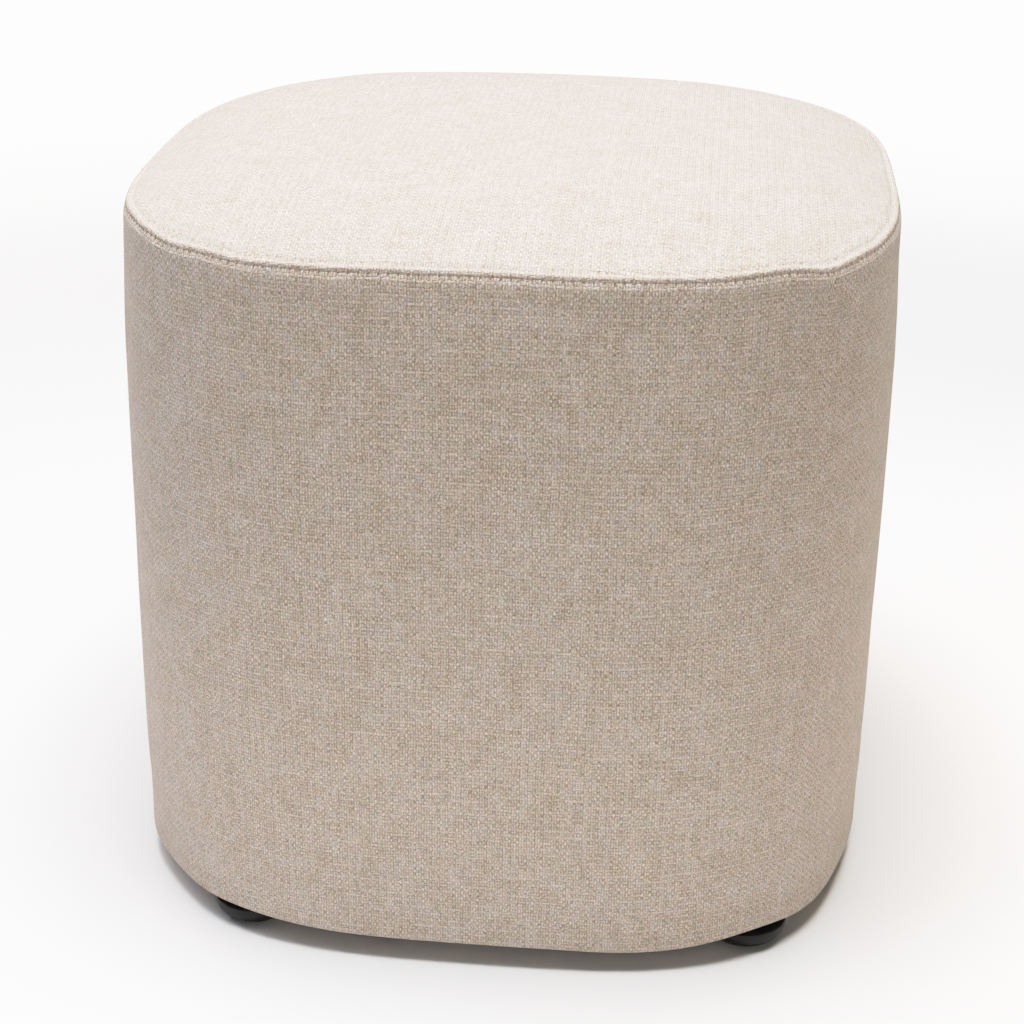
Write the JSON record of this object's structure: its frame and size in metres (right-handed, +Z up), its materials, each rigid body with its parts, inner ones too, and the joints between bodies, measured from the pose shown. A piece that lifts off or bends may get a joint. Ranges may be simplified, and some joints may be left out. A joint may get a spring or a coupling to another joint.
{
  "type": "cube pouf stool",
  "caption": "Upholstered rounded-cube pouf with a crowned, seamed top panel, a padded side band and domed glides under its corners.",
  "frame": {"origin": "on the floor, under the middle of the stool's plan", "axes": "+Z up out of the seat, front of the picture towards -Y, +X to the right"},
  "size_m": [0.4, 0.4, 0.3926],
  "materials": {
    "upholstery_cloth": "plain-woven melange upholstery cloth, light beige with paler and tan yarns, matt",
    "closing_cloth": "plain dark non-woven closing cloth, matt",
    "glide_plastic": "black moulded plastic, satin"
  },
  "bodies": {
    "root": {"side_band": "upholstery_cloth", "top_panel": "upholstery_cloth", "bottom_panel": "closing_cloth", "glide_front_left": "glide_plastic", "glide_front_right": "glide_plastic", "glide_back_left": "glide_plastic", "glide_back_right": "glide_plastic"}
  },
  "joints": []
}
